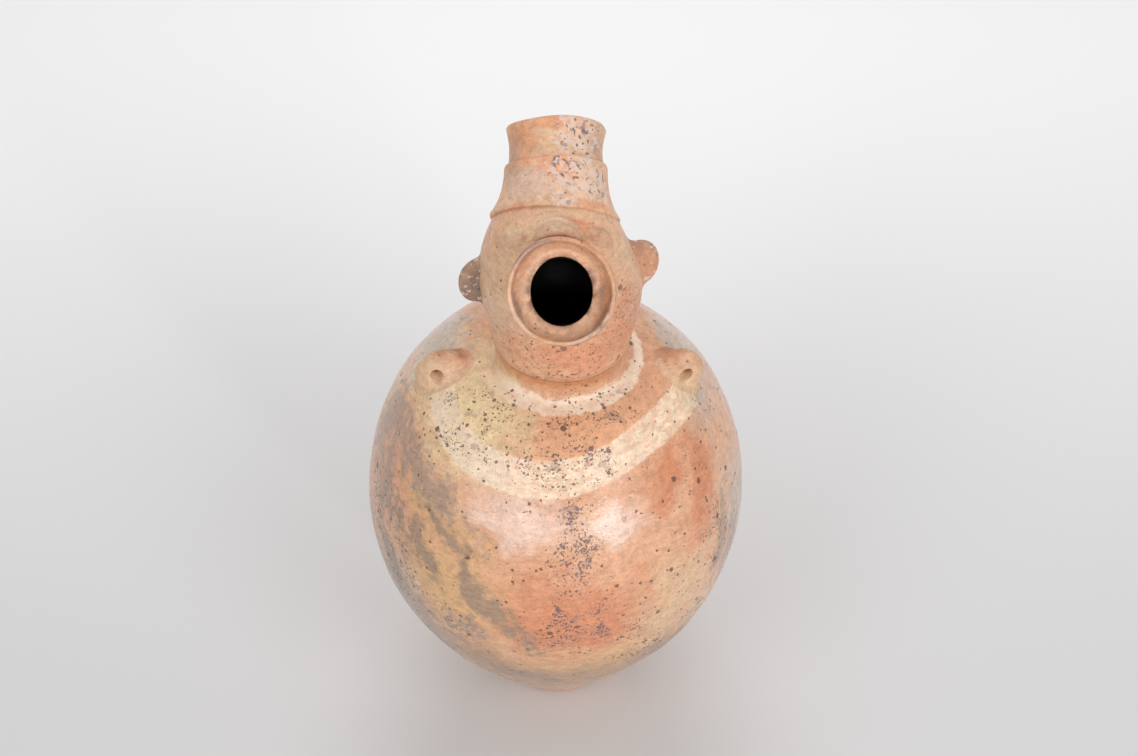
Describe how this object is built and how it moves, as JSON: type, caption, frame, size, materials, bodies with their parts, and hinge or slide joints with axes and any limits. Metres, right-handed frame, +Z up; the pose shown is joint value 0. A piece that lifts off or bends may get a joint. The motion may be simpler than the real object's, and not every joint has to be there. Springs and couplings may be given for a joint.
{
  "type": "figural spout vessel",
  "caption": "Ovoid ceramic jar with a blunt conical base, an effigy head on its neck, a flaring pouring spout, a tall open hat, ears and pierced shoulder lugs.",
  "frame": {"origin": "centre of the flat foot, on the surface the jar stands on", "axes": "+Z up along the body's axis, -Y towards the front, where the spout points, +X to the right seen from the front"},
  "size_m": [0.2, 0.2, 0.361],
  "materials": {
    "burnished_body": "burnished orange slip with smoke clouds, a cream band and dark mineral specks",
    "burnished_head": "burnished orange-tan slip, worn along the edges",
    "matt_hat": "matt orange-tan slip with a pale mineral crust",
    "applied_clay": "matt cream and tan clay, pitted"
  },
  "bodies": {
    "root": {"base_bowl": "burnished_body", "shoulder_dome": "burnished_body", "neck_collar": "burnished_body", "head_shell": "burnished_head", "spout": "burnished_head", "nose": "applied_clay", "eye_left": "applied_clay", "eye_right": "applied_clay", "ear_left": "applied_clay", "ear_right": "applied_clay", "hat_lower_tier": "matt_hat", "hat_deck": "matt_hat", "hat_crown": "matt_hat", "lug_left": "applied_clay", "lug_right": "applied_clay"}
  },
  "joints": []
}
